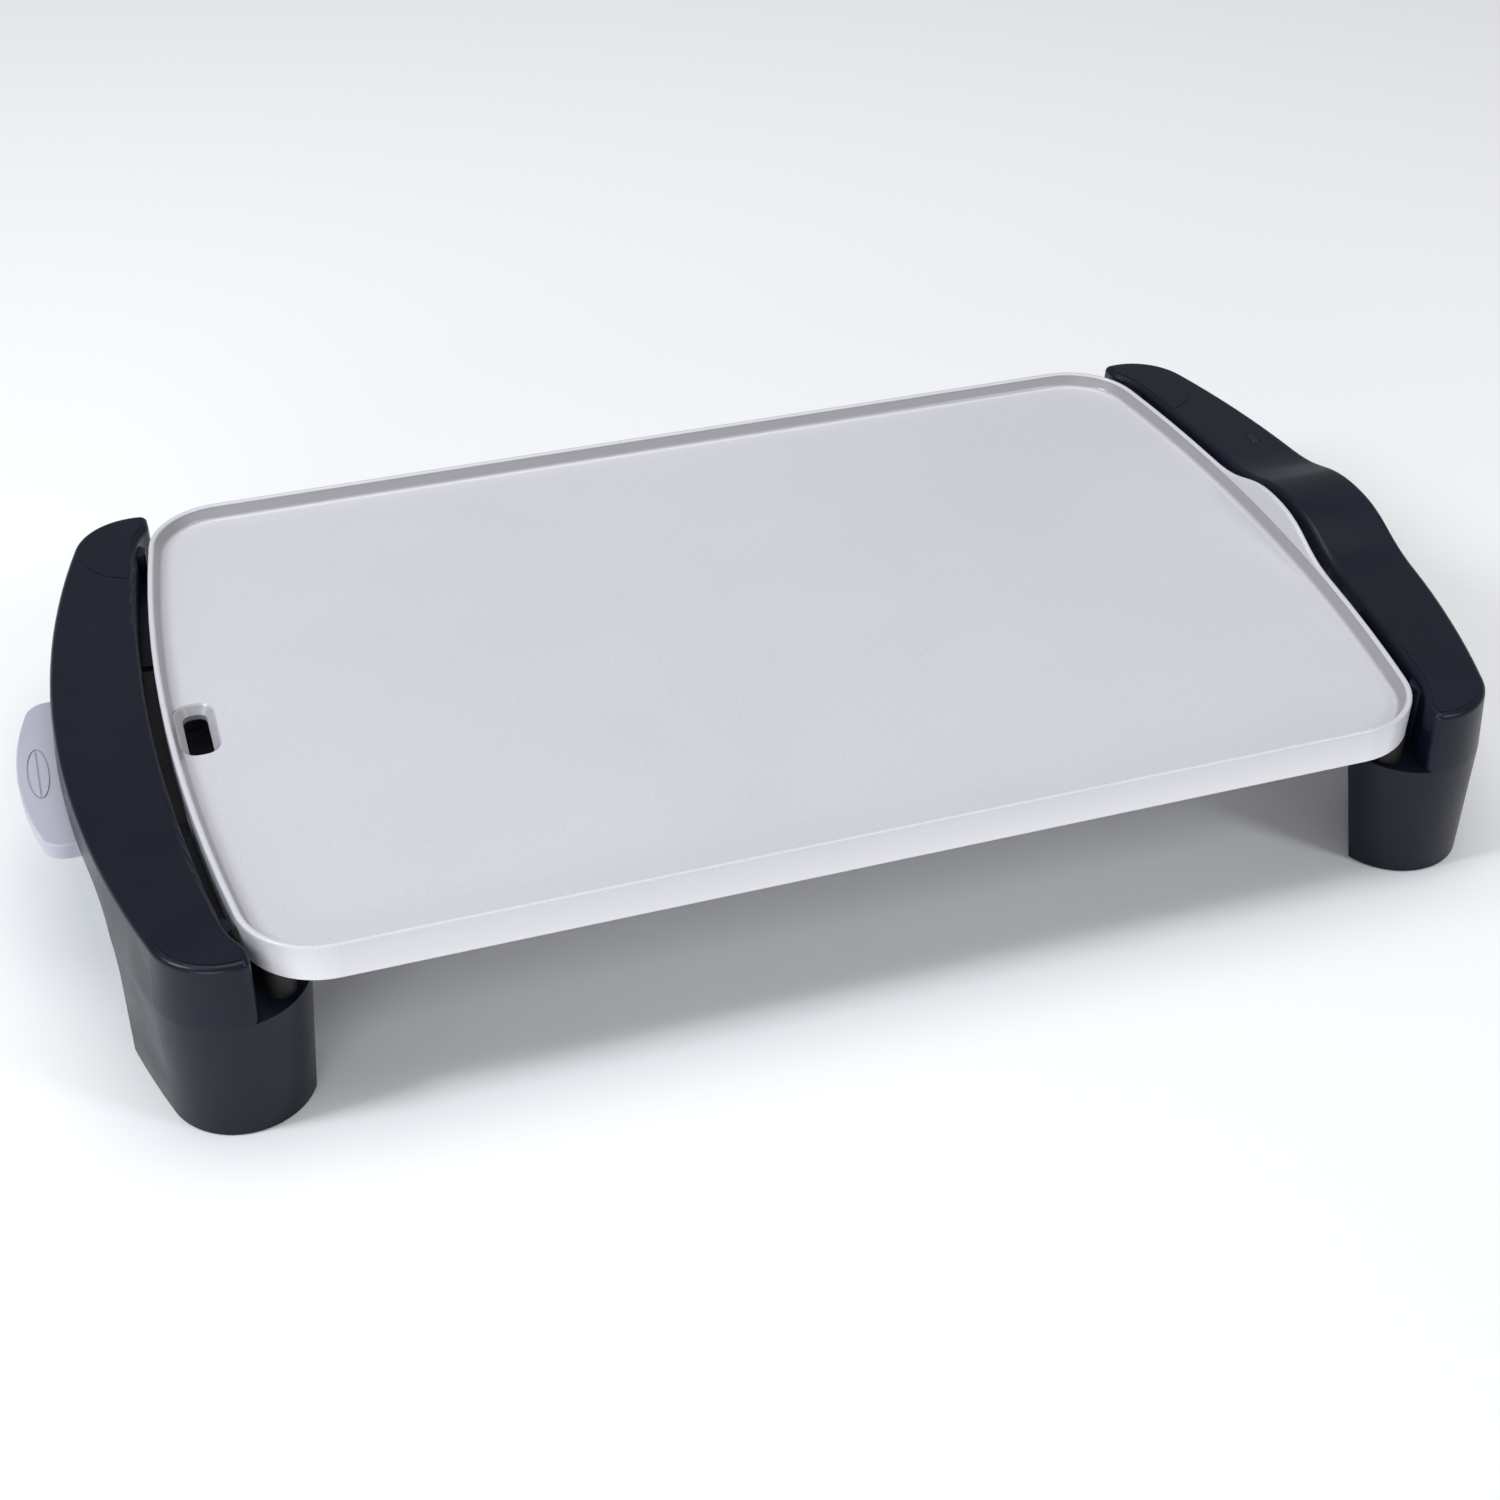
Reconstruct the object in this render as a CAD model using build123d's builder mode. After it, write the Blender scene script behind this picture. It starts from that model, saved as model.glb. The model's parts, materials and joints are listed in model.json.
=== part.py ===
from build123d import *
import math
import os

os.makedirs("parts", exist_ok=True)

# Electric griddle, in millimetres. The origin is on the table, under the middle of the whole
# object; +X runs to the end with the heater inlet, and -Y is the front.

# ---- driving dimensions -------------------------------------------------------------------
center_x = 8.0  # the plate's middle: the tray grip stands out further than the right handle

# griddle plate
plate_half_length = 235.0
plate_half_width = 147.5
plate_bow = 13.5  # how far each end curves out over the full width
plate_corner_radius = 31.0
skirt_bottom = 61.8
skirt_wall = 3.0
underside = 67.8
floor_top = 70.4
rim_top = 76.3
rim_wall = 2.4
rim_step = 1.2  # upright part of the rim's inner wall, under its crest
rim_slope = 2.3  # how far the wall then slopes in before it meets the floor
floor_radius = 3.0
crest_radius = 1.0
hump_half_width = 52.0
rim_hump = 9.5
inlet_notch = (50.0, 7.4)  # width and height of the notch in the skirt

# end frames: a handle bar that runs into two legs
frame_bottom = 0.5
frame_top = 76.0
frame_hump = 8.5
frame_reach = 277.0
frame_gap = 4.8  # between the plate and the moulding
frame_wall = 3.2
ledge_top = 50.5
ledge_wall = 4.0
nose_x = 230.5
nose_y = 121.7
nose_radius = 28.0
foot_reach = 278.0  # the same wall, at the floor
foot_nose_x = 231.9
foot_nose_y = 123.0
foot_nose_radius = 26.3
ledge_corner_angle = 173.0  # where the leg's inner corner lies on the nose, from +X
foot_corner_angle = 157.0
leg_back_angle = 48.0
leg_inner_y = 80.0
arch_half_width = 95.5
arch_top = 63.0
arch_radius = 28.0
top_edge_radius = 2.4
wall_draft = 0.087  # how far the outer wall leans in for each mm above the ledges
riser_x = 224.0  # upright face that ends the raised block beside each plate corner
riser_radius = 3.0
riser_bend = 8.0  # between the riser and the gap round the plate
disc_radius = 23.2  # flat disc on top of each nose
disc_rise = 0.2
tunnel_half_width = 36.0
tunnel_top = 71.0
plug_x = 258.6
plug_y = 64.0
plug_radii = (2.2, 4.2)
plug_turn = 8.0
cover_thickness = 2.5
cover_gap = 0.3
cover_half_width = 64.0
lip_bottom = 58.5
lip_thickness = 2.5
lip_start = 56.0
lip_end = 117.0
lip_depth = 6.0  # how far the lip reaches in under the plate

# drain and drip tray
drain_x = -223.3
drain_y = -4.8
drain_length = 27.2
drain_width = 9.3
drain_corner = 3.6
drain_flare = [(67.1, 0.0), (69.8, 2.4), (floor_top, 3.1)]  # height, and how far the hole widens
spout_bottom = 65.0
spout_wall = 2.2
tray_back = 189.0  # distances along the tray are measured outward from the plate's middle
tray_tip = 291.0
tray_shoulder = 283.0
tray_y = 2.0
tray_half_width = 46.0
tray_top = 58.0
tray_flange = 2.2
tray_bottom = 40.0
tray_wall = 1.8
basin_back = 191.0
basin_front = 268.0
basin_half_width = 40.5
grip_start = 270.0
grip_lip = 4.0
mark_x = 283.0
mark_radii = (4.3, 15.8)
mark_line = 0.8
mark_depth = 0.6
housing_back = 186.0
housing_front = 262.0
housing_half_width = 49.5
housing_top = 61.0
housing_wall = 2.0
collar_opening = 1.0  # how much wider the hole in the housing is than the drain
collar_wall = 1.6
rail_width = 5.5
rail_top = 55.4
rail_thickness = 2.0

# heating element and the sheet parts under it
element_radius = 4.0
element_z = 63.6
channel_width = 14.0
inlet_z = 58.0
pin_y = 17.0
pin_radius = 3.0
pin_root = 241.0
pin_tip = 259.0
sheath_end = 228.0
strap_places = (-90.0, 10.0, 110.0)
strap_boss_y = 67.0
strap_top = 59.4
shield_bottom = 54.0
shield_depth = 5.0
shield_sheet = 1.0
shield_left = -176.0
shield_right = 200.0
shield_half_width = 116.0
shield_notch = (32.0, 52.0)  # depth and width of the clearance at the inlet end
shroud_back = 235.6
shroud_front = 262.0
shroud_width = 72.0
shroud_height = 18.0
shroud_sheet = 1.2
sleeve_outer = 4.5
sleeve_inner = 3.4
sleeve_back = 176.0
probe_block_start = 174.0
probe_block_end = 231.0
probe_block_width = 15.0
probe_block_bottom = 52.0

# fastenings
mount_x = 214.6
mount_y = 133.9
mount_boss = 4.8
mount_channel = 4.2  # the screw's way up through the leg
bush_radius = 5.5
screw_radius = 2.0
screw_hole = 2.25
pad_x = 243.0
pad_y = 112.0
pad_radius = 7.0
pad_height = 1.5

plate_end_radius = (plate_half_width**2 + plate_bow**2) / (2 * plate_bow)
roof = frame_top - frame_wall
bar_roof = roof - 0.4
lean = wall_draft * (frame_top - ledge_top)  # of the outer wall, at the top
foot = ((foot_nose_x, foot_nose_y), foot_nose_radius, foot_reach)
ledge_under = ledge_top - ledge_wall
cover_bottom = arch_top + 0.2
cover_seat = cover_bottom + cover_thickness
housing_screw_spots = [(x, y - tray_y) for x in (200.0, 218.0) for y in (-57.0, 57.0)]
shield_screw_spots = [(x, y) for x in (-135.0, 160.0) for y in (-strap_boss_y, strap_boss_y)]
strap_screw_spots = [(x, y) for x in strap_places for y in (-strap_boss_y, strap_boss_y)]
shroud_screw_spots = [(222.0, -29.0), (222.0, 29.0)]
corners = [(end, depth) for end in (-1, 1) for depth in (-1, 1)]
corner_names = {-1: "left", 1: "right"}
depth_names = {-1: "front", 1: "back"}


# ---- planes and outlines ------------------------------------------------------------------
def level(height, side=1):
    """Horizontal plane over the plate's middle; side -1 is turned half round, for the left end."""
    return Plane(origin=(center_x, 0, height), x_dir=(side, 0, 0), z_dir=(0, 0, 1))


def across(distance, side=1):
    """Upright plane that faces outward along X, at this distance from the plate's middle."""
    origin = (center_x + side * distance, 0, 0)
    return Plane(origin=origin, x_dir=(0, side, 0), z_dir=(side, 0, 0))


def save(builder, name):
    """Label a finished piece and write it."""
    builder.part.label = name
    export_step(builder.part, f"parts/{name}.step")


def plate_outline(grow):
    """Plan of the plate, with every edge moved outward by grow."""
    end_center = plate_half_length - plate_end_radius
    width = plate_half_width + grow
    length = plate_half_length + grow
    corner_x = end_center + math.sqrt((plate_end_radius + grow) ** 2 - width**2)
    with BuildSketch() as outline:
        with BuildLine():
            Line((-corner_x, width), (corner_x, width))
            ThreePointArc((corner_x, width), (length, 0), (corner_x, -width))
            Line((corner_x, -width), (-corner_x, -width))
            ThreePointArc((-corner_x, -width), (-length, 0), (-corner_x, width))
        make_face()
        fillet(outline.vertices(), plate_corner_radius + grow)
    return outline.sketch


def drain_outline(grow):
    """Plan of the drain hole, widened by grow on every side."""
    with BuildSketch() as outline:
        with Locations((drain_x, drain_y)):
            RectangleRounded(drain_width + 2 * grow, drain_length + 2 * grow, drain_corner + grow)
    return outline.sketch


def bowed_wall(center, radius, reach):
    """Radius and centre of the bowed outer wall, and the point where it runs into the nose."""
    depth = reach - center[0]
    bow_radius = (depth**2 + center[1] ** 2 - radius**2) / (2 * (depth - radius))
    bow_center = reach - bow_radius
    distance = math.hypot(center[0] - bow_center, center[1])
    share = bow_radius / distance
    meeting = (bow_center + share * (center[0] - bow_center), share * center[1])
    return bow_radius, bow_center, meeting


def end_outline(inset):
    """Plan of an end frame above its ledges, from its outer wall in to the line of the noses."""
    radius = nose_radius - inset
    reach = frame_reach - inset
    meeting = bowed_wall((nose_x, nose_y), radius, reach)[2]
    with BuildSketch() as outline:
        with BuildLine():
            ThreePointArc(meeting, (reach, 0), (meeting[0], -meeting[1]))
            Polyline((meeting[0], -meeting[1]), (nose_x, -nose_y), (nose_x, nose_y), meeting)
        make_face()
        with Locations((nose_x, -nose_y), (nose_x, nose_y)):
            Circle(radius)
    return outline.sketch


def gap_outline(gap, bend):
    """Plan of the room for the plate: its outline plus the gap, squared off at the risers."""
    plate = plate_outline(gap)
    edge = riser_x + gap - frame_gap
    reach = 40
    with BuildSketch() as outline:
        add(plate)
        with Locations((edge - reach / 2, -nose_y - reach / 2), (edge - reach / 2, nose_y + reach / 2)):
            Rectangle(reach, reach)
        if bend:
            on_edge = outline.vertices().filter_by_position(Axis.X, edge - 0.1, edge + 0.1)
            fillet([v for v in on_edge if abs(v.Y) < plate_half_width], bend)
    return outline.sketch


def leg_outline(center, radius, reach, corner_angle, depth):
    """Plan of one leg: round the nose, along the outer wall, and back across the inside."""
    bow_radius, bow_center, meeting = bowed_wall(center, radius, reach)
    angle = math.radians(corner_angle)
    corner = (center[0] + radius * math.cos(angle), center[1] + radius * math.sin(angle))
    wall_y = (meeting[1] + leg_inner_y) / 2
    points = {
        "corner": corner,
        "nose": (center[0], center[1] + radius),
        "meeting": meeting,
        "wall": (bow_center + math.sqrt(bow_radius**2 - wall_y**2), wall_y),
        "outer": (bow_center + math.sqrt(bow_radius**2 - leg_inner_y**2), leg_inner_y),
        "inner": (
            corner[0] + (corner[1] - leg_inner_y) / math.tan(math.radians(leg_back_angle)),
            leg_inner_y,
        ),
    }
    at = {name: (point[0], depth * point[1]) for name, point in points.items()}
    with BuildSketch() as outline:
        with BuildLine():
            ThreePointArc(at["corner"], at["nose"], at["meeting"])
            ThreePointArc(at["meeting"], at["wall"], at["outer"])
            Polyline(at["outer"], at["inner"], at["corner"])
        make_face()
    return outline.sketch


def leg_hollow(depth, inset):
    """Plan of the space inside one leg."""
    leg = leg_outline(*foot, foot_corner_angle, depth)
    with BuildSketch() as hollow:
        add(leg)
        with Locations((nose_x, 0)):
            Rectangle(200, 2 * arch_half_width, mode=Mode.SUBTRACT)
        offset(amount=-inset, mode=Mode.REPLACE)
        with Locations((mount_x, depth * mount_y)):
            Circle(mount_channel + frame_wall - inset)
    return hollow.sketch


def bar_hollow(near, far, inset):
    """Plan of the space inside the bar, for both depths between near and far from the middle."""
    inside = end_outline(inset + lean)
    outside = gap_outline(frame_gap + inset, 0)
    middle = (near + far) / 2
    with BuildSketch() as hollow:
        add(inside)
        add(outside, mode=Mode.SUBTRACT)
        with Locations((nose_x, -middle), (nose_x, middle)):
            Rectangle(200, far - near, mode=Mode.INTERSECT)
    return hollow.sketch


def hump_profile(base, rise):
    """Side view of a level edge that swells smoothly by rise at its middle."""
    edge = hump_half_width
    crest = base + rise
    far = 2 * plate_half_width
    with BuildSketch() as profile:
        with BuildLine():
            Polyline((-edge, base), (-far, base), (-far, 0), (far, 0), (far, base), (edge, base))
            Bezier((edge, base), (edge / 2, base), (edge / 2, crest), (0, crest))
            Bezier((0, crest), (-edge / 2, crest), (-edge / 2, base), (-edge, base))
        make_face()
    return profile.sketch


def screw_group(name, plane, spots, length, radius=screw_radius, head=3.6, head_height=2.4):
    """Pan-head cross-slot screws that point along the plane's +Z, heads below the plane."""
    slot_length = 1.3 * head
    slot_width = 0.3 * head
    with BuildPart() as screws:
        with BuildSketch(plane):
            with Locations(*spots):
                Circle(radius)
        extrude(amount=length)
        with BuildSketch(plane):
            with Locations(*spots):
                Circle(head)
        extrude(amount=-head_height)
        crowns = screws.edges().filter_by(GeomType.CIRCLE).group_by(Axis(plane.origin, plane.z_dir))
        fillet(crowns[0], 0.4 * head_height)
        with BuildSketch(plane.offset(-head_height)):
            with Locations(*spots):
                Rectangle(slot_length, slot_width)
                Rectangle(slot_width, slot_length)
        extrude(amount=0.5 * head_height, mode=Mode.SUBTRACT)
    save(screws, name)


# ---- griddle plate ------------------------------------------------------------------------
plate_edge = plate_outline(0)
plate_recess = plate_outline(-rim_wall)
plate_floor = plate_outline(-rim_wall - rim_slope)
plate_hollow = plate_outline(-skirt_wall)
swelling = hump_profile(rim_top, rim_hump)

loop_points = [
    (183.0, pin_y),
    (183.0, 100.0),
    (-160.0, 100.0),
    (-160.0, 35.0),
    (140.0, 35.0),
    (140.0, -35.0),
    (-160.0, -35.0),
    (-160.0, -100.0),
    (183.0, -100.0),
    (183.0, -pin_y),
]
loop_bends = [14.0] + [28.0] * 8 + [14.0]

with BuildPart() as rim_swelling:
    with BuildSketch(across(0)):
        add(swelling)
    extrude(amount=2 * plate_half_length)
    with BuildSketch(level(floor_top)):
        add(plate_edge)
        with Locations((-plate_half_length, 0)):
            Rectangle(2 * plate_half_length, 4 * plate_half_width, mode=Mode.SUBTRACT)
    extrude(amount=2 * rim_hump, mode=Mode.INTERSECT)

with BuildPart() as griddle_plate:
    with BuildSketch(level(skirt_bottom)):
        add(plate_edge)
    extrude(amount=rim_top - skirt_bottom)
    add(rim_swelling.part)
    # cooking floor: the rim's inner wall is upright at first, then slopes in
    with BuildSketch(level(rim_top - rim_step)):
        add(plate_recess)
    extrude(amount=4 * rim_hump, mode=Mode.SUBTRACT)
    with BuildSketch(level(floor_top)):
        add(plate_floor)
    with BuildSketch(level(rim_top - rim_step)):
        add(plate_recess)
    loft(ruled=True, mode=Mode.SUBTRACT)
    floor_edges = griddle_plate.edges().filter_by_position(Axis.Z, floor_top - 0.1, floor_top + 0.1)
    fillet(floor_edges, floor_radius)
    crest_edges = griddle_plate.edges().filter_by_position(Axis.Z, rim_top - 0.1, 2 * rim_top)
    crosswise = [e for e in crest_edges if abs((e % 0.5).X) < 0.99]
    lengthwise = [e for e in crest_edges if abs((e % 0.5).X) >= 0.99]
    sides = [e for e in lengthwise if abs((e @ 0.5).Y) > plate_half_width - 6]
    fillet(crosswise + sides, crest_radius)
    # hollow underside, and the drain beside the left rim, with a short spout under it
    with BuildSketch(level(skirt_bottom)):
        add(plate_hollow)
    extrude(amount=underside - skirt_bottom, mode=Mode.SUBTRACT)
    with BuildSketch(level(spout_bottom)):
        add(drain_outline(spout_wall))
    extrude(amount=underside - spout_bottom + 0.5)
    with BuildSketch(level(spout_bottom)):
        add(drain_outline(0))
    extrude(amount=rim_top - spout_bottom, mode=Mode.SUBTRACT)
    for (low, narrow), (high, wide) in zip(drain_flare, drain_flare[1:]):
        with BuildSketch(level(low)):
            add(drain_outline(narrow))
        with BuildSketch(level(high)):
            add(drain_outline(wide))
        loft(ruled=True, mode=Mode.SUBTRACT)
    with BuildSketch(level(floor_top)):
        add(drain_outline(drain_flare[-1][1]))
    extrude(amount=rim_top - rim_step - floor_top, mode=Mode.SUBTRACT)
    # notch in the skirt for the inlet
    with BuildSketch(across(plate_half_length - 4 * skirt_wall)):
        with Locations((0, skirt_bottom)):
            Rectangle(*inlet_notch)
    extrude(amount=8 * skirt_wall, mode=Mode.SUBTRACT)
    # cast channel that holds the element
    with BuildSketch(level(element_z - 1)) as channel:
        with BuildLine() as run:
            FilletPolyline((198, pin_y), *loop_points, (198, -pin_y), radius=loop_bends)
        trace(lines=run.line, line_width=channel_width)
        trace(lines=run.line, line_width=2 * element_radius + 0.6, mode=Mode.SUBTRACT)
    extrude(amount=underside - element_z + 1.5)
    # bosses for the straps, the shield, the tray housing, the inlet shroud and the legs
    boss_rows = [
        (strap_top, 4.5, strap_screw_spots),
        (shield_bottom + shield_sheet, 5.0, shield_screw_spots),
        (housing_top, 4.5, [(-x, -y) for x, y in housing_screw_spots]),
        (skirt_bottom - 0.2, 4.5, shroud_screw_spots),
        (skirt_bottom, mount_boss, [(end * mount_x, depth * mount_y) for end, depth in corners]),
    ]
    for bottom, radius, spots in boss_rows:
        with BuildSketch(level(bottom)):
            with Locations(*spots):
                Circle(radius)
        extrude(amount=underside - bottom + 0.5)
    # cast block round the probe sleeve
    with BuildSketch(level(probe_block_bottom)):
        with Locations(((probe_block_start + probe_block_end) / 2, 0)):
            Rectangle(probe_block_end - probe_block_start, probe_block_width)
    extrude(amount=underside - probe_block_bottom + 0.5)
    with BuildSketch(across(sleeve_back)):
        with Locations((0, inlet_z)):
            Circle(sleeve_outer + 0.05)
    extrude(amount=80, mode=Mode.SUBTRACT)
    for bottom, radius, spots in boss_rows:
        with BuildSketch(level(bottom)):
            with Locations(*spots):
                Circle(screw_hole)
        extrude(amount=5.2, mode=Mode.SUBTRACT)
save(griddle_plate, "griddle_plate")

# ---- heating element, straps and shield ---------------------------------------------------
lead_in = [(217.0, inlet_z), (205.0, element_z)]
element_points = [(sheath_end, pin_y, inlet_z)]
element_points += [(x, pin_y, z) for x, z in lead_in]
element_points += [(x, y, element_z) for x, y in loop_points]
element_points += [(x, -pin_y, z) for x, z in reversed(lead_in)]
element_points += [(sheath_end, -pin_y, inlet_z)]

with BuildPart() as heating_element:
    with BuildLine(level(0)) as element_path:
        FilletPolyline(*element_points, radius=[10.0, 10.0] + loop_bends + [10.0, 10.0])
    with BuildSketch(Plane(origin=element_path.line @ 0, z_dir=element_path.line % 0)):
        Circle(element_radius)
    sweep()
save(heating_element, "heating_element")

for place, strap_name in zip(strap_places, ("left", "center", "right")):
    with BuildPart() as element_strap:
        with BuildSketch(level(strap_top)):
            with Locations((place, 0)):
                RectangleRounded(14, 222, 4)
            with Locations((place, -strap_boss_y), (place, strap_boss_y)):
                Circle(screw_hole, mode=Mode.SUBTRACT)
        extrude(amount=-1.2)
        # stiffening bead pressed down along the middle
        with BuildSketch(level(strap_top - 1.2)):
            with Locations((place, 0)):
                SlotOverall(100, 5, rotation=90)
        extrude(amount=-1.0)
        with BuildSketch(level(strap_top)):
            with Locations((place, 0)):
                SlotOverall(98.4, 3.4, rotation=90)
        extrude(amount=-1.2, mode=Mode.SUBTRACT)
    save(element_strap, f"element_strap_{strap_name}")
screw_group("strap_screws", level(strap_top - 1.2), strap_screw_spots, 5.5)

shield_length = shield_right - shield_left
with BuildPart() as heat_shield:
    with BuildSketch(level(shield_bottom)):
        with Locations(((shield_left + shield_right) / 2, 0)):
            RectangleRounded(shield_length, 2 * shield_half_width, 18)
    extrude(amount=shield_depth)
    with BuildSketch(level(shield_bottom + shield_sheet)):
        with Locations(((shield_left + shield_right) / 2, 0)):
            RectangleRounded(
                shield_length - 2 * shield_sheet,
                2 * (shield_half_width - shield_sheet),
                17,
            )
    extrude(amount=shield_depth, mode=Mode.SUBTRACT)
    # clearance round the probe block and the element's ends
    with BuildSketch(level(shield_bottom - 1)):
        with Locations((shield_right, 0)):
            Rectangle(2 * shield_notch[0], shield_notch[1])
    extrude(amount=2 * shield_depth, mode=Mode.SUBTRACT)
    # vent slots
    with BuildSketch(level(shield_bottom - 1)):
        with Locations(((shield_left + shield_right) / 2 - 12, 0)):
            with GridLocations(36, 130, 8, 2):
                SlotOverall(34, 5, rotation=90)
    extrude(amount=3, mode=Mode.SUBTRACT)
    with BuildSketch(level(shield_bottom - 1)):
        with Locations(*shield_screw_spots):
            Circle(screw_hole)
    extrude(amount=3, mode=Mode.SUBTRACT)
save(heat_shield, "heat_shield")
screw_group("shield_screws", level(shield_bottom), shield_screw_spots, 5.5)

# ---- thermostat inlet ---------------------------------------------------------------------
for depth in (-1, 1):
    with BuildPart() as terminal_pin:
        with BuildSketch(across(sheath_end)):
            with Locations((depth * pin_y, inlet_z)):
                Circle(pin_radius - 0.5)
        extrude(amount=pin_root - sheath_end)
        with BuildSketch(across(pin_root)):
            with Locations((depth * pin_y, inlet_z)):
                Circle(pin_radius)
        extrude(amount=pin_tip - pin_root)
        chamfer(terminal_pin.faces().sort_by(Axis.X)[-1].edges(), 0.8)
    save(terminal_pin, f"terminal_pin_{depth_names[depth]}")

    with BuildPart() as pin_insulator:
        with BuildSketch(across(sheath_end + 0.5)):
            with Locations((depth * pin_y, inlet_z)):
                Circle(6)
        extrude(amount=shroud_back + 3.4 - sheath_end - 0.5)
        with BuildSketch(across(shroud_back + 3.4)):
            with Locations((depth * pin_y, inlet_z)):
                Circle(4.6)
        extrude(amount=pin_root - shroud_back - 3.4)
        with BuildSketch(across(sheath_end)):
            with Locations((depth * pin_y, inlet_z)):
                Circle(pin_radius - 0.4)
        extrude(amount=20, mode=Mode.SUBTRACT)
    save(pin_insulator, f"pin_insulator_{depth_names[depth]}")

    # leaf spring that touches the plug's earth strip
    blade = [(238.4, 34.3), (243.5, 31.4), (254.5, 32.6), (259.5, 34.3)]
    with BuildPart() as earth_contact:
        with BuildSketch(level(inlet_z - 4)):
            with BuildLine() as blade_line:
                Polyline(*[(x, depth * y) for x, y in blade])
            trace(lines=blade_line.line, line_width=0.6)
        extrude(amount=8)
    save(earth_contact, f"earth_contact_{depth_names[depth]}")

with BuildPart() as probe_sleeve:
    with BuildSketch(across(sleeve_back)):
        with Locations((0, inlet_z)):
            Circle(sleeve_outer)
            Circle(sleeve_inner, mode=Mode.SUBTRACT)
    extrude(amount=pin_root - sleeve_back)
save(probe_sleeve, "probe_sleeve")

with BuildPart() as inlet_shroud:
    with BuildSketch(across(shroud_back)):
        with Locations((0, inlet_z)):
            RectangleRounded(shroud_width, shroud_height, 6)
    extrude(amount=shroud_front - shroud_back)
    with BuildSketch(across(shroud_back + 1.4)):
        with Locations((0, inlet_z)):
            RectangleRounded(shroud_width - 2 * shroud_sheet, shroud_height - 2 * shroud_sheet, 4.8)
    extrude(amount=shroud_front, mode=Mode.SUBTRACT)
    with BuildSketch(across(shroud_back - 1)):
        with Locations((-pin_y, inlet_z), (pin_y, inlet_z)):
            Circle(6.2)
        with Locations((0, inlet_z)):
            Circle(sleeve_outer + 0.2)
    extrude(amount=4, mode=Mode.SUBTRACT)
    # tabs that run back under the plate's edge
    with BuildSketch(level(skirt_bottom - 1.4)):
        with Locations(*[(225.0, y) for x, y in shroud_screw_spots]):
            Rectangle(24, 10)
        with Locations(*shroud_screw_spots):
            Circle(screw_hole, mode=Mode.SUBTRACT)
    extrude(amount=shroud_sheet)
save(inlet_shroud, "inlet_shroud")
screw_group("shroud_screws", level(skirt_bottom - 1.4), shroud_screw_spots, 6.0)

# ---- end frames ---------------------------------------------------------------------------
gap_plan = gap_outline(frame_gap, riser_bend)
disc_cut = gap_outline(frame_gap + top_edge_radius + 0.1, riser_bend)
with BuildSketch() as disc_plan:
    with Locations((nose_x, -nose_y), (nose_x, nose_y)):
        Circle(disc_radius)
    add(disc_cut, mode=Mode.SUBTRACT)
feet = {
    depth: leg_outline(*foot, foot_corner_angle, depth)
    for depth in (-1, 1)
}
ledges = {
    depth: leg_outline((nose_x, nose_y), nose_radius, frame_reach, ledge_corner_angle, depth)
    for depth in (-1, 1)
}
leg_spaces = {depth: leg_hollow(depth, frame_wall) for depth in (-1, 1)}
nose_space = bar_hollow(arch_half_width + frame_wall, plate_half_width + 20, frame_wall)
lip_ring_outer = plate_outline(frame_gap + frame_wall)
lip_ring_inner = plate_outline(-lip_depth)
lip_web_inner = plate_outline(frame_gap)
grip_posts = {-1: [(258.5, -46.0), (258.5, 46.0), (259.0, 0.0)], 1: [(258.5, -51.0), (258.5, 51.0)]}
grip_start_y = {-1: -1.0, 1: tunnel_half_width + frame_wall}


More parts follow.
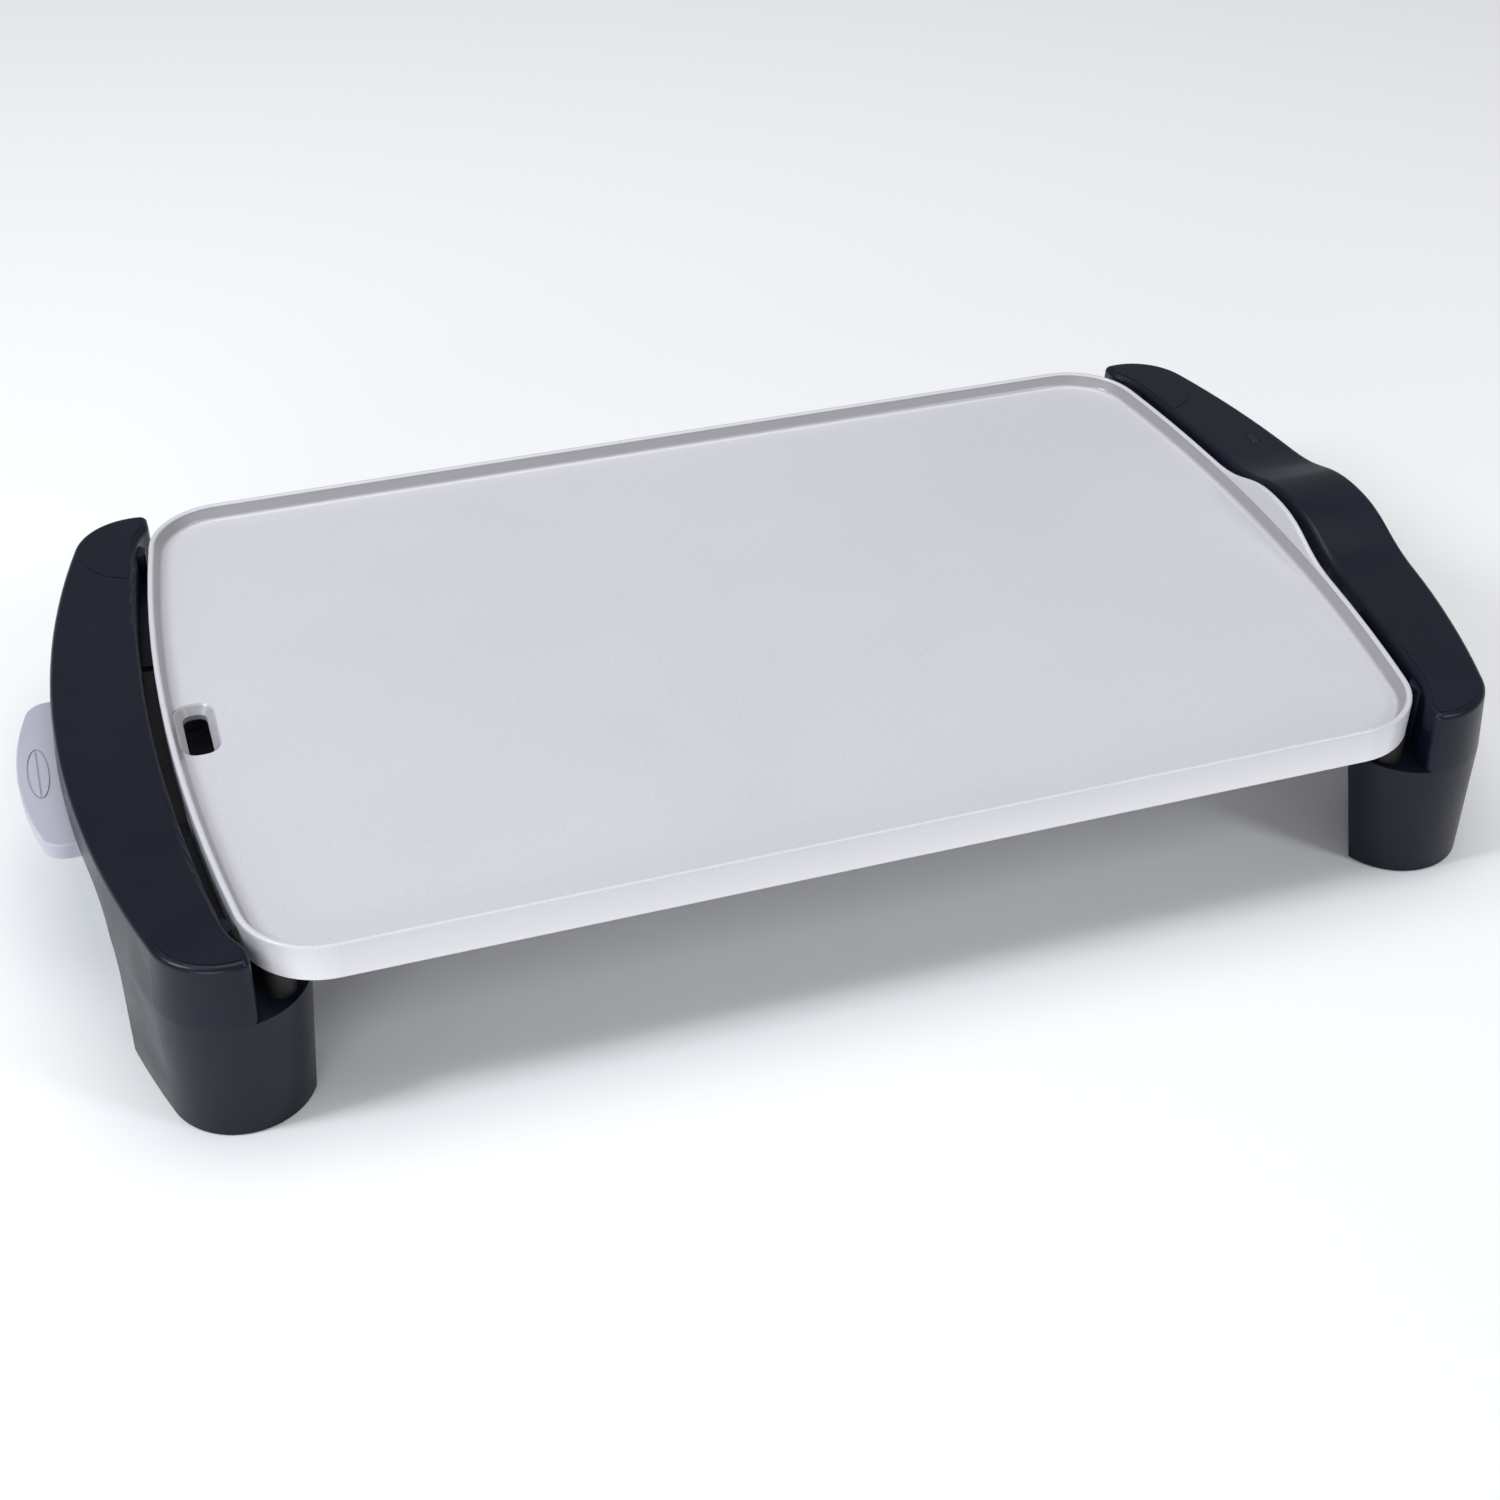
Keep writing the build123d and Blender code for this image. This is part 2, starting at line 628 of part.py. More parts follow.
for side in (-1, 1):
    end = corner_names[side]
    rise = frame_hump if side > 0 else 0
    top_profile = hump_profile(frame_top, rise) if rise else None
    bar_space = bar_hollow(grip_start_y[side], arch_half_width + 2 * frame_wall, frame_wall)
    seat_space = bar_hollow(grip_start_y[side], cover_half_width, frame_wall)
    cover_plan = bar_hollow(
        grip_start_y[side] + (cover_gap if side > 0 else 0),
        cover_half_width - cover_gap,
        frame_wall + cover_gap,
    )

    with BuildPart() as end_frame:
        block_height = frame_top + rise - ledge_top
        with BuildSketch(level(ledge_top, side)):
            add(end_outline(0))
        with BuildSketch(level(ledge_top + block_height, side)):
            add(end_outline(wall_draft * block_height))
        loft(ruled=True)
        with BuildSketch(level(ledge_top, side)):
            add(gap_plan)
        extrude(amount=2 * frame_top, mode=Mode.SUBTRACT)
        if rise:
            with BuildSketch(across(0, side)):
                add(top_profile)
            extrude(amount=2 * plate_half_length, mode=Mode.INTERSECT)
        upright = end_frame.edges().filter_by_position(Axis.Z, ledge_top + 5, frame_top - 5)
        risers = [e for e in upright if abs((e @ 0.5).Y) > plate_half_width - 4]
        fillet(risers, riser_radius)
        top_edges = end_frame.edges().filter_by_position(Axis.Z, frame_top - 0.05, 2 * frame_top)
        fillet(top_edges, top_edge_radius)
        with BuildSketch(level(frame_top - 1, side)):
            add(disc_plan.sketch)
        extrude(amount=1 + disc_rise)
        # legs, which narrow a little towards the floor
        for depth in (-1, 1):
            with BuildSketch(level(frame_bottom, side)):
                add(feet[depth])
            with BuildSketch(level(ledge_top, side)):
                add(ledges[depth])
            loft(ruled=True)
        # arch between the legs
        with BuildSketch(across(150, side)) as arch:
            with Locations((0, arch_top / 2 - 10)):
                Rectangle(2 * arch_half_width, arch_top + 20)
            fillet(arch.vertices().group_by(Axis.Y)[-1], arch_radius)
        extrude(amount=200, mode=Mode.SUBTRACT)
        # hollow legs and bar
        for depth in (-1, 1):
            with BuildSketch(level(frame_bottom - 1, side)):
                add(leg_spaces[depth])
            extrude(amount=ledge_under - frame_bottom + 1, mode=Mode.SUBTRACT)
        with BuildSketch(level(ledge_under - 1, side)):
            add(nose_space)
        extrude(amount=roof - ledge_under + 1, mode=Mode.SUBTRACT)
        with BuildSketch(level(cover_seat, side)):
            add(bar_space)
        extrude(amount=bar_roof - cover_seat, mode=Mode.SUBTRACT)
        with BuildSketch(level(arch_top - 5, side)):
            add(seat_space)
        extrude(amount=cover_seat - arch_top + 6, mode=Mode.SUBTRACT)
        if rise:
            # room for the thermostat's head under the raised part of the bar
            with BuildSketch(across(200, side)):
                with Locations((0, tunnel_top / 2)):
                    Rectangle(2 * tunnel_half_width, tunnel_top)
            extrude(amount=100, mode=Mode.SUBTRACT)
        # lip along the bar that closes the gap under the plate's edge
        for depth in (-1, 1):
            with BuildSketch(level(lip_bottom, side)):
                add(lip_ring_outer)
                add(lip_ring_inner, mode=Mode.SUBTRACT)
                with Locations((nose_x, depth * (lip_start + lip_end) / 2)):
                    Rectangle(100, lip_end - lip_start, mode=Mode.INTERSECT)
            extrude(amount=lip_thickness)
            with BuildSketch(level(lip_bottom, side)):
                add(lip_ring_outer)
                add(lip_web_inner, mode=Mode.SUBTRACT)
                with Locations((nose_x, depth * (lip_start + lip_end) / 2)):
                    Rectangle(100, lip_end - lip_start, mode=Mode.INTERSECT)
            extrude(amount=arch_top - lip_bottom + 1)
        # posts for the cover screws
        with BuildSketch(level(cover_seat, side)):
            with Locations(*grip_posts[side]):
                Circle(4)
        extrude(amount=roof - cover_seat + 0.5)
        with BuildSketch(level(frame_bottom + 1 + cover_thickness, side)):
            with Locations((foot_nose_x, -foot_nose_y), (foot_nose_x, foot_nose_y)):
                Circle(4.5)
        extrude(amount=roof - frame_bottom - 1 - cover_thickness + 0.5)
        # screw holes in the posts and through the ledges
        with BuildSketch(level(cover_bottom, side)):
            with Locations(*grip_posts[side]):
                Circle(1.6)
        extrude(amount=8, mode=Mode.SUBTRACT)
        with BuildSketch(level(frame_bottom, side)):
            with Locations((foot_nose_x, -foot_nose_y), (foot_nose_x, foot_nose_y)):
                Circle(1.6)
        extrude(amount=15, mode=Mode.SUBTRACT)
        with BuildSketch(level(ledge_under - 1, side)):
            with Locations((mount_x, -mount_y), (mount_x, mount_y)):
                Circle(screw_hole)
        extrude(amount=ledge_wall + 2, mode=Mode.SUBTRACT)
        if rise:
            # seat of the oval plug in the top of the bar
            with BuildSketch(level(roof - 1, side)):
                with Locations((plug_x, plug_y)):
                    Ellipse(plug_radii[0] + 0.2, plug_radii[1] + 0.2, rotation=plug_turn)
            extrude(amount=3 * frame_wall, mode=Mode.SUBTRACT)
    save(end_frame, f"{end}_end_frame")

    for depth in (-1, 1) if side > 0 else (0,):
        cover_name = f"{end}_grip_cover" + (f"_{depth_names[depth]}" if depth else "")
        posts = [p for p in grip_posts[side] if depth == 0 or p[1] * depth > 0]
        with BuildPart() as grip_cover:
            with BuildSketch(level(cover_bottom, side)):
                add(cover_plan)
                if depth:
                    with Locations((nose_x, depth * cover_half_width)):
                        Rectangle(200, 2 * cover_half_width, mode=Mode.INTERSECT)
            extrude(amount=cover_thickness)
            with BuildSketch(level(cover_bottom, side)):
                with Locations(*posts):
                    Circle(3.6)
            extrude(amount=1.4, mode=Mode.SUBTRACT)
            with BuildSketch(level(cover_bottom, side)):
                with Locations(*posts):
                    Circle(1.8)
            extrude(amount=cover_thickness, mode=Mode.SUBTRACT)
        save(grip_cover, cover_name)
    screw_group(
        f"{end}_grip_screws", level(cover_bottom + 1.4, side), grip_posts[side], 6.0, 1.4, 3.0, 1.3
    )

with BuildPart() as handle_plug:
    with BuildSketch(level(roof)):
        with Locations((plug_x, plug_y)):
            Ellipse(*plug_radii, rotation=plug_turn)
    extrude(amount=frame_wall + 0.2)
    fillet(handle_plug.faces().sort_by(Axis.Z)[-1].edges(), 0.5)
save(handle_plug, "handle_plug")

# ---- feet ---------------------------------------------------------------------------------
cover_spaces = {depth: leg_hollow(depth, frame_wall + cover_gap) for depth in (-1, 1)}

for end, depth in corners:
    corner_name = f"{depth_names[depth]}_{corner_names[end]}"
    turned = end * depth  # the left end's plane is turned half round, so front and back swap there
    with BuildPart() as foot_cover:
        with BuildSketch(level(pad_height, end)):
            add(cover_spaces[turned])
            with Locations((pad_x, turned * pad_y)):
                Circle(2.6, mode=Mode.SUBTRACT)
            with Locations((foot_nose_x, turned * foot_nose_y)):
                Circle(1.8, mode=Mode.SUBTRACT)
        extrude(amount=cover_thickness)
        with BuildSketch(level(pad_height, end)):
            with Locations((foot_nose_x, turned * foot_nose_y)):
                Circle(3.6)
        extrude(amount=1.2, mode=Mode.SUBTRACT)
    save(foot_cover, f"foot_cover_{corner_name}")

    with BuildPart() as foot_pad:
        with BuildSketch(level(0, end)):
            with Locations((pad_x, turned * pad_y)):
                Circle(pad_radius)
        extrude(amount=pad_height)
        fillet(foot_pad.faces().sort_by(Axis.Z)[0].edges(), 0.4)
        with BuildSketch(level(pad_height, end)):
            with Locations((pad_x, turned * pad_y)):
                Circle(2.4)
        extrude(amount=cover_thickness + 1.5)
    save(foot_pad, f"foot_pad_{corner_name}")

    with BuildPart() as spacer_bush:
        with BuildSketch(level(ledge_top, end)):
            with Locations((mount_x, turned * mount_y)):
                Circle(bush_radius)
                Circle(screw_hole + 0.1, mode=Mode.SUBTRACT)
        extrude(amount=skirt_bottom - ledge_top)
    save(spacer_bush, f"spacer_bush_{corner_name}")

foot_spots = [(end * foot_nose_x, depth * foot_nose_y) for end, depth in corners]
mount_spots = [(end * mount_x, depth * mount_y) for end, depth in corners]
screw_group("foot_cover_screws", level(pad_height + 1.2), foot_spots, 9.0, 1.4, 3.0, 1.1)
screw_group("mounting_screws", level(ledge_under - 1), mount_spots, 21.0, head=3.4)

with BuildPart() as mounting_washers:
    with BuildSketch(level(ledge_under - 1)):
        with Locations(*mount_spots):
            Circle(3.9)
        with Locations(*mount_spots):
            Circle(screw_hole, mode=Mode.SUBTRACT)
    extrude(amount=1)
save(mounting_washers, "mounting_washers")

# ---- tray housing and drip tray -----------------------------------------------------------
housing_length = housing_front - housing_back
housing_middle = (housing_front + housing_back) / 2
side_depth = housing_top - rail_top + rail_thickness
side_y = housing_half_width - housing_wall / 2
rail_y = housing_half_width - housing_wall - rail_width / 2
ear_middle = 208.0
ear_length = 36.0
ear_reach = 64.0  # the ears take the screws, past the housing's sides

with BuildPart() as tray_housing:
    with BuildSketch(level(housing_top, -1)):
        with Locations((housing_middle, -tray_y)):
            Rectangle(housing_length, 2 * housing_half_width)
        with Locations((ear_middle, -tray_y)):
            RectangleRounded(ear_length, 2 * ear_reach, 4)
    extrude(amount=-housing_wall)
    # side walls and the rails that the tray hangs on
    for edge in (-1, 1):
        with BuildSketch(level(housing_top, -1)):
            with Locations((housing_middle, edge * side_y - tray_y)):
                Rectangle(housing_length, housing_wall)
        extrude(amount=-side_depth)
        with BuildSketch(level(rail_top, -1)):
            with Locations((housing_middle, edge * rail_y - tray_y)):
                Rectangle(housing_length, rail_width + 0.2)
        extrude(amount=-rail_thickness)
    # back wall
    with BuildSketch(level(housing_top, -1)):
        with Locations((housing_back + housing_wall / 2, -tray_y)):
            Rectangle(housing_wall, 2 * housing_half_width)
    extrude(amount=tray_bottom + 4 - housing_top)
    # collar round the drain
    with BuildSketch(level(housing_top)):
        add(drain_outline(collar_opening + collar_wall))
    extrude(amount=spout_bottom - housing_top - 0.5)
    with BuildSketch(level(housing_top - 2 * housing_wall)):
        add(drain_outline(collar_opening))
    extrude(amount=spout_bottom - housing_top + 2 * housing_wall, mode=Mode.SUBTRACT)
    with BuildSketch(level(housing_top, -1)):
        with Locations(*housing_screw_spots):
            Circle(screw_hole)
    extrude(amount=-2 * housing_wall, mode=Mode.SUBTRACT)
save(tray_housing, "tray_housing")
screw_group("housing_screws", level(housing_top - housing_wall, -1), housing_screw_spots, 6.5)

tray_right = -tray_half_width - tray_y
tray_left = tray_half_width - tray_y
with BuildSketch() as tray_plan:
    with BuildLine():
        Polyline(
            (tray_shoulder, tray_right),
            (tray_back, tray_right),
            (tray_back, tray_left),
            (tray_shoulder, tray_left),
        )
        ThreePointArc((tray_shoulder, tray_left), (tray_tip, -tray_y), (tray_shoulder, tray_right))
    make_face()
    fillet(tray_plan.vertices().group_by(Axis.X)[-1], 9)
    fillet(tray_plan.vertices().group_by(Axis.X)[0], 4)

basin_length = basin_front - basin_back
basin_middle = (basin_front + basin_back) / 2

with BuildPart() as drip_tray:
    with BuildSketch(level(tray_top - tray_flange, -1)):
        add(tray_plan.sketch)
    extrude(amount=tray_flange)
    # turned-down lip round the grip
    with BuildSketch(level(tray_top - tray_flange, -1)):
        add(tray_plan.sketch)
        offset(tray_plan.sketch, amount=-tray_wall, mode=Mode.SUBTRACT)
        with Locations((grip_start / 2, 0)):
            Rectangle(grip_start, 4 * tray_half_width, mode=Mode.SUBTRACT)
    extrude(amount=-grip_lip)
    # basin
    with BuildSketch(level(tray_top - tray_flange, -1)):
        with Locations((basin_middle, -tray_y)):
            RectangleRounded(basin_length, 2 * basin_half_width, 8)
    extrude(amount=tray_bottom - tray_top + tray_flange)
    base_edges = drip_tray.faces().sort_by(Axis.Z)[0].edges()
    fillet(base_edges, 3)
    with BuildSketch(level(tray_bottom + tray_wall, -1)):
        with Locations((basin_middle, -tray_y)):
            RectangleRounded(basin_length - 2 * tray_wall, 2 * (basin_half_width - tray_wall), 6.2)
    extrude(amount=tray_top - tray_bottom, mode=Mode.SUBTRACT)
    # oval finger mark engraved in the grip, with a line along it
    with BuildSketch(level(tray_top, -1)):
        with Locations((mark_x, -tray_y)):
            Ellipse(*mark_radii)
            Ellipse(mark_radii[0] - mark_line, mark_radii[1] - mark_line, mode=Mode.SUBTRACT)
            Rectangle(mark_line, 2 * mark_radii[1] - mark_line)
    extrude(amount=-mark_depth, mode=Mode.SUBTRACT)
    rim_faces = drip_tray.faces().filter_by_position(Axis.Z, tray_top - 0.01, tray_top + 0.01)
    grip_edges = rim_faces.sort_by(SortBy.AREA)[-1].outer_wire().edges()
    fillet(grip_edges.sort_by(Axis.X)[:3], 0.7)
save(drip_tray, "drip_tray")
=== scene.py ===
"""Looks of the electric griddle: materials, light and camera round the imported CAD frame."""

import json
import math

import bpy
from mathutils import Euler, Matrix, Vector

# places on the griddle, in the row frame's metres
DRAIN_X = (-0.2245, -0.2065)
DRAIN_Y = (-0.0225, 0.0125)
PAINTED_SHADE_Z = (0.0645, 0.0758)  # height band of the painted shade: from below the drain's flare up to the crest of the level rim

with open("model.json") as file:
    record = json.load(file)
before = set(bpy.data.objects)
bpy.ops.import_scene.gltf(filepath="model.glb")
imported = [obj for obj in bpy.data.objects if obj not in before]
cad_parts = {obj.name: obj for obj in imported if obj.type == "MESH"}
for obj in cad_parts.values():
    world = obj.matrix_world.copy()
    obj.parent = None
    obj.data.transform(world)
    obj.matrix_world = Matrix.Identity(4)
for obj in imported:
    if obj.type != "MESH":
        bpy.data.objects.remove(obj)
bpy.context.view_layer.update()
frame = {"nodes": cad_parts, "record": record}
nodes = frame["nodes"]
scene = bpy.context.scene


# ---- node helpers -------------------------------------------------------------------------
class Recipe:
    """A Principled material under construction, with textures in the row frame's metres."""

    def __init__(self, name, color, roughness, metallic=0.0):
        self.material = bpy.data.materials.new(name)
        self.material.use_nodes = True
        self.tree = self.material.node_tree
        self.shader = self.tree.nodes["Principled BSDF"]
        self.shader.inputs["Base Color"].default_value = (*color, 1.0)
        self.shader.inputs["Roughness"].default_value = roughness
        self.shader.inputs["Metallic"].default_value = metallic
        self.coordinates = self.add("ShaderNodeTexCoord")
        self.height = None

    def add(self, kind, **settings):
        node = self.tree.nodes.new(kind)
        for key, value in settings.items():
            setattr(node, key, value)
        return node

    def link(self, source, target):
        self.tree.links.new(source, target)

    def noise(self, grain, detail=3.0, stretch=(1, 1, 1)):
        """Noise whose features are about grain metres across, between 0 and 1."""
        mapping = self.add("ShaderNodeMapping")
        mapping.inputs["Scale"].default_value = stretch
        self.link(self.coordinates.outputs["Object"], mapping.inputs["Vector"])
        texture = self.add("ShaderNodeTexNoise")
        texture.inputs["Scale"].default_value = 1.0 / grain
        texture.inputs["Detail"].default_value = detail
        self.link(mapping.outputs["Vector"], texture.inputs["Vector"])
        return texture.outputs["Fac"]

    def ranged(self, value, low, high, start=0.3, end=0.7):
        """The value's span start..end stretched to low..high."""
        node = self.add("ShaderNodeMapRange")
        node.inputs["From Min"].default_value = start
        node.inputs["From Max"].default_value = end
        node.inputs["To Min"].default_value = low
        node.inputs["To Max"].default_value = high
        self.link(value, node.inputs["Value"])
        return node.outputs["Result"]

    def tint(self, mask, color):
        """Mix color over whatever Base Color is so far, where mask is 1."""
        mix = self.add("ShaderNodeMix", data_type="RGBA")
        target = self.shader.inputs["Base Color"]
        if target.is_linked:
            self.link(target.links[0].from_socket, mix.inputs["A"])
        else:
            mix.inputs["A"].default_value = target.default_value
        mix.inputs["B"].default_value = (*color, 1.0)
        self.link(mask, mix.inputs["Factor"])
        self.link(mix.outputs["Result"], target)

    def vary(self, socket, value):
        self.link(value, self.shader.inputs[socket])

    def emboss(self, value, depth, strength=1.0):
        """Add relief of this depth in metres, on top of the relief so far."""
        bump = self.add("ShaderNodeBump")
        bump.inputs["Strength"].default_value = strength
        bump.inputs["Distance"].default_value = depth
        self.link(value, bump.inputs["Height"])
        if self.height:
            self.link(self.height, bump.inputs["Normal"])
        self.height = bump.outputs["Normal"]
        self.link(self.height, self.shader.inputs["Normal"])

    def facing(self, axis, start, end):
        """Mask that grows from 0 to 1 as the surface turns towards the given axis."""
        product = self.add("ShaderNodeVectorMath", operation="DOT_PRODUCT")
        product.inputs[1].default_value = axis
        self.link(self.coordinates.outputs["Normal"], product.inputs[0])
        return self.ranged(product.outputs["Value"], 0.0, 1.0, start, end)

    def between(self, axis, low, high, blend=0.0004):
        """Mask of the places between low and high along an axis, in metres."""
        split = self.add("ShaderNodeSeparateXYZ")
        self.link(self.coordinates.outputs["Object"], split.inputs["Vector"])
        above = self.ranged(split.outputs[axis], 0.0, 1.0, low, low + blend)
        below = self.ranged(split.outputs[axis], 1.0, 0.0, high - blend, high)
        return self.combine(above, below)

    def inward(self):
        """Mask of the surfaces that face the middle of the object."""
        product = self.add("ShaderNodeVectorMath", operation="DOT_PRODUCT")
        self.link(self.coordinates.outputs["Normal"], product.inputs[0])
        self.link(self.coordinates.outputs["Object"], product.inputs[1])
        return self.ranged(product.outputs["Value"], 1.0, 0.0, -0.02, 0.0)

    def combine(self, first, second, operation="MULTIPLY"):
        """Two masks made one: by default where both are 1, or with MAXIMUM where either is."""
        node = self.add("ShaderNodeMath", operation=operation)
        self.link(first, node.inputs[0])
        self.link(second, node.inputs[1])
        return node.outputs["Value"]

    def edges(self, start, end):
        """Mask of the convex edges."""
        geometry = self.add("ShaderNodeNewGeometry")
        return self.ranged(geometry.outputs["Pointiness"], 0.0, 1.0, start, end)


# ---- materials ----------------------------------------------------------------------------
def ceramic_coat():
    """Pale non-stick coat with a faint fleck; cast aluminium shows underneath."""
    m = Recipe("ceramic_coat", (0.60, 0.59, 0.64), 0.34)
    m.tint(m.ranged(m.noise(0.11, 2.0), 0.0, 0.5), (0.65, 0.64, 0.68))
    m.tint(m.ranged(m.noise(0.0011, 1.0), 0.0, 0.35, 0.62, 0.72), (0.44, 0.43, 0.48))
    m.tint(m.ranged(m.noise(0.0008, 1.0), 0.0, 0.4, 0.66, 0.74), (0.80, 0.80, 0.84))
    # painted highlight: the convex edges, such as the crest of the rim, are made lighter
    m.tint(m.edges(0.53, 0.60), (0.78, 0.77, 0.80))
    # painted shade: the walls round the floor and the drain are made greyer than the flats and the skirt,
    # where shade falls inside the rim and the drain
    drain = m.combine(m.between("X", *DRAIN_X), m.between("Y", *DRAIN_Y))
    inside = m.combine(m.inward(), drain, "MAXIMUM")
    shaded_walls = m.combine(m.facing((0, 0, -1), -0.93, -0.6), inside)
    # the grey here is painted shade, not a colour of the coat
    m.tint(m.combine(shaded_walls, m.between("Z", *PAINTED_SHADE_Z)), (0.34, 0.33, 0.35))
    under = m.facing((0, 0, -1), 0.5, 0.9)
    m.tint(under, (0.40, 0.40, 0.41))
    m.vary("Metallic", under)
    m.vary("Roughness", m.ranged(m.noise(0.03, 4.0), 0.28, 0.40))
    m.emboss(m.noise(0.0016, 2.0), 0.00002)
    m.shader.inputs["Coat Weight"].default_value = 0.25
    m.shader.inputs["Coat Roughness"].default_value = 0.18
    return m.material


def moulded(name, color, lighter, roughness, grain=0.0005, relief=0.00003):
    """Satin moulded plastic with a fine spark texture and faint flow marks."""
    m = Recipe(name, color, roughness)
    m.tint(m.ranged(m.noise(0.06, 3.0, (1, 0.5, 1)), 0.0, 0.7, 0.35, 0.75), lighter)
    m.tint(m.ranged(m.noise(grain, 1.0), 0.0, 0.3, 0.55, 0.7), lighter)
    m.vary("Roughness", m.ranged(m.noise(0.02, 4.0), roughness - 0.05, roughness + 0.05))
    m.emboss(m.noise(grain, 2.0), relief)
    m.shader.inputs["Specular IOR Level"].default_value = 0.26
    return m.material


def tray_plastic():
    m = Recipe("tray_plastic", (0.44, 0.44, 0.52), 0.36)
    m.tint(m.ranged(m.noise(0.05, 3.0), 0.0, 0.6), (0.50, 0.50, 0.58))
    m.vary("Roughness", m.ranged(m.noise(0.012, 4.0), 0.30, 0.42))
    m.emboss(m.noise(0.0006, 2.0), 0.000015)
    m.shader.inputs["Subsurface Weight"].default_value = 0.08
    m.shader.inputs["Subsurface Radius"].default_value = (0.004, 0.004, 0.005)
    return m.material


def sheet_metal(name, color, dull, roughness, grain=(1, 14, 14)):
    """Rolled sheet: grain along one direction, dull patches, brighter edges."""
    m = Recipe(name, color, roughness, 1.0)
    m.tint(m.ranged(m.noise(0.02, 5.0), 0.0, 0.8, 0.4, 0.7), dull)
    m.tint(m.edges(0.52, 0.58), tuple(min(1.0, 1.3 * c) for c in color))
    m.vary("Roughness", m.ranged(m.noise(0.004, 3.0, grain), roughness - 0.09, roughness + 0.1))
    m.emboss(m.noise(0.003, 2.0, grain), 0.00002)
    return m.material


def heated_tube():
    """Drawn tube, tinted straw and blue-brown by heat."""
    m = Recipe("element_sheath", (0.20, 0.18, 0.16), 0.45, 0.9)
    m.tint(m.ranged(m.noise(0.05, 3.0), 0.0, 0.8), (0.24, 0.17, 0.10))
    m.tint(m.ranged(m.noise(0.035, 2.0), 0.0, 0.5, 0.5, 0.7), (0.10, 0.11, 0.16))
    m.vary("Roughness", m.ranged(m.noise(0.006, 3.0), 0.36, 0.55))
    m.emboss(m.noise(0.0012, 3.0), 0.00002)
    return m.material


def rubber():
    m = Recipe("pad_rubber", (0.022, 0.022, 0.023), 0.8)
    m.tint(m.ranged(m.noise(0.01, 4.0), 0.0, 0.6), (0.05, 0.05, 0.052))
    m.emboss(m.noise(0.0008, 3.0), 0.00005)
    return m.material


def steatite():
    m = Recipe("ceramic", (0.72, 0.70, 0.64), 0.5)
    m.tint(m.ranged(m.noise(0.004, 4.0), 0.0, 0.6), (0.62, 0.59, 0.52))
    m.emboss(m.noise(0.0007, 3.0), 0.00003)
    return m.material


builders = {
    "ceramic_coat": ceramic_coat,
    "frame_plastic": lambda: moulded("frame_plastic", (0.003, 0.005, 0.013), (0.006, 0.008, 0.019), 0.33),
    "cover_plastic": lambda: moulded("cover_plastic", (0.014, 0.016, 0.022), (0.022, 0.024, 0.032), 0.55),
    "housing_plastic": lambda: moulded("housing_plastic", (0.013, 0.013, 0.017), (0.02, 0.02, 0.024), 0.5),
    "plug_plastic": lambda: moulded("plug_plastic", (0.008, 0.009, 0.013), (0.014, 0.015, 0.02), 0.22),
    "bush_resin": lambda: moulded("bush_resin", (0.012, 0.011, 0.011), (0.02, 0.018, 0.017), 0.5),
    "tray_plastic": tray_plastic,
    "element_sheath": heated_tube,
    "strap_steel": lambda: sheet_metal("strap_steel", (0.52, 0.52, 0.53), (0.40, 0.40, 0.41), 0.38),
    "shield_steel": lambda: sheet_metal("shield_steel", (0.60, 0.60, 0.61), (0.50, 0.50, 0.52), 0.36),
    "shroud_steel": lambda: sheet_metal("shroud_steel", (0.58, 0.58, 0.59), (0.46, 0.46, 0.48), 0.30),
    "nickel": lambda: sheet_metal("nickel", (0.68, 0.65, 0.58), (0.55, 0.52, 0.46), 0.22),
    "spring_brass": lambda: sheet_metal("spring_brass", (0.66, 0.50, 0.22), (0.50, 0.36, 0.16), 0.28),
    "screw_steel": lambda: sheet_metal(
        "screw_steel", (0.50, 0.50, 0.51), (0.36, 0.36, 0.37), 0.34, (6, 6, 6)
    ),
    "ceramic": steatite,
    "pad_rubber": rubber,
}
slot_of = {part["node"]: part["material_slot"] for part in frame["record"]["subparts"]}
finishes = {slot: make() for slot, make in builders.items()}
for name, node in nodes.items():
    node.data.materials.clear()
    node.data.materials.append(finishes[slot_of[name]])


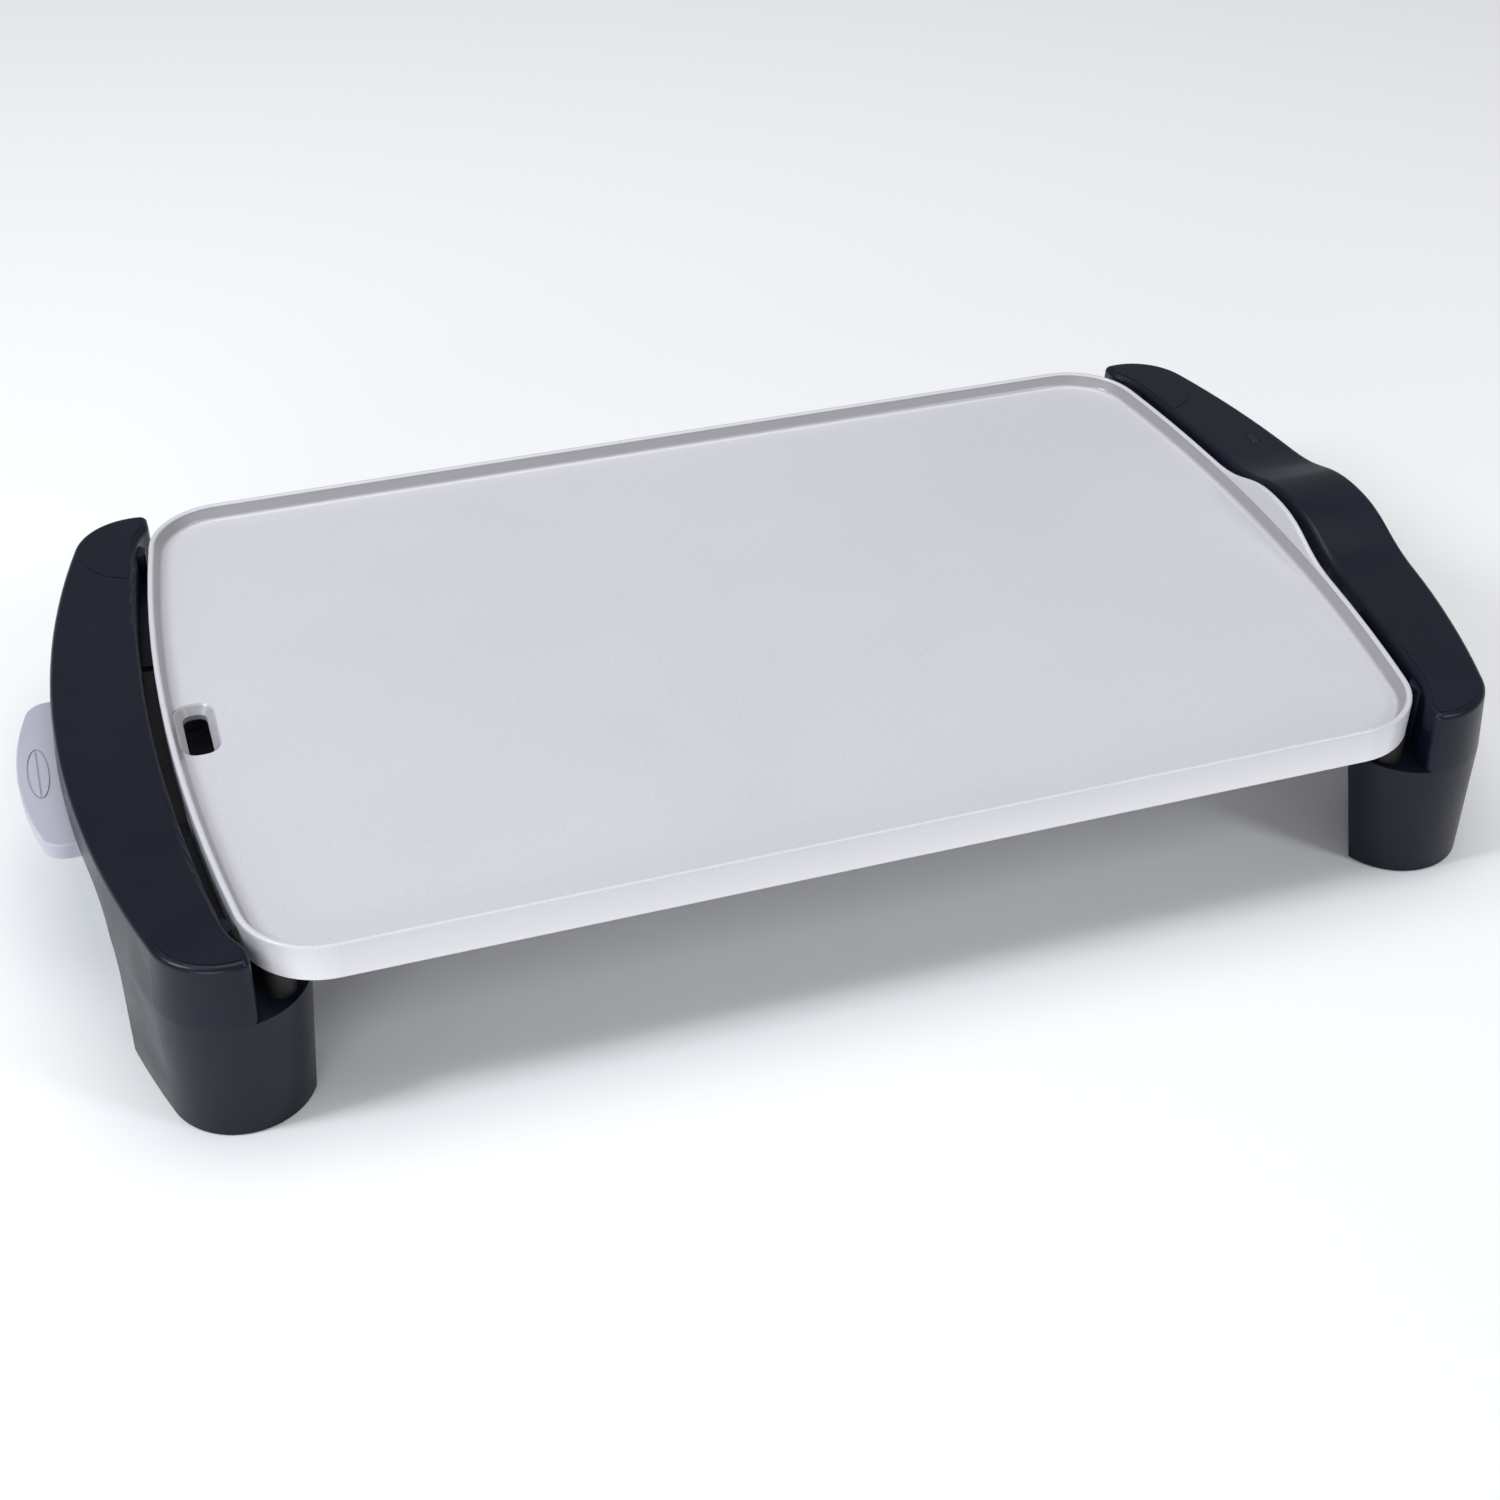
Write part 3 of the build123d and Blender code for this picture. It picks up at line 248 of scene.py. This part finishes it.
# ---- floor, light and camera --------------------------------------------------------------
def area_light(name, place, aim, width, height, power, color=(1, 1, 1)):
    lamp = bpy.data.lights.new(name, "AREA")
    lamp.shape = "RECTANGLE"
    lamp.size = width
    lamp.size_y = height
    lamp.energy = power
    lamp.color = color
    holder = bpy.data.objects.new(name, lamp)
    scene.collection.objects.link(holder)
    holder.location = place
    holder.rotation_euler = (Vector(aim) - Vector(place)).to_track_quat("-Z", "Y").to_euler()


area_light("softbox_left", (-1.35, -0.15, 1.25), (-0.2, 0, 0.05), 0.3, 0.6, 14, (0.88, 0.95, 1.0))
area_light("softbox_right", (1.05, -1.15, 1.25), (0.1, 0, 0.05), 0.3, 0.6, 7, (0.88, 0.95, 1.0))
area_light("softbox_top", (0.1, 0.3, 2.4), (0, 0, 0), 2.2, 1.6, 27, (1.0, 0.99, 0.97))
area_light("softbox_front", (-1.1, -1.8, 0.45), (-0.2, -0.15, 0.06), 1.2, 0.5, 13)

world = bpy.data.worlds.new("studio")
scene.world = world
world.use_nodes = True
world.node_tree.nodes["Background"].inputs["Color"].default_value = (0.97, 0.98, 1.0, 1)
world.node_tree.nodes["Background"].inputs["Strength"].default_value = 0.30

floor_size = 12.0
bpy.ops.mesh.primitive_plane_add(size=floor_size, location=(0, 0, 0))
floor = bpy.context.active_object
floor.name = "floor"
paper = Recipe("floor_paper", (0.93, 0.93, 0.94), 0.9)
paper.shader.inputs["Specular IOR Level"].default_value = 0.1
floor.data.materials.append(paper.material)

camera_place = Vector((-0.2409, -0.7281, 0.5936))
camera_turn = math.radians(18.78)  # to the right of the +Y direction
camera_dip = math.radians(37.41)
camera_roll = math.radians(0.69)
lens = bpy.data.cameras.new("camera")
lens.sensor_width = 36.0
lens.lens = 55.25
camera = bpy.data.objects.new("camera", lens)
scene.collection.objects.link(camera)
facing = Euler((math.pi / 2 - camera_dip, 0, -camera_turn)).to_matrix()
camera.matrix_world = (
    Matrix.Translation(camera_place)
    @ facing.to_4x4()
    @ Matrix.Rotation(camera_roll, 4, "Z")
)
scene.camera = camera
scene.view_settings.view_transform = "Standard"
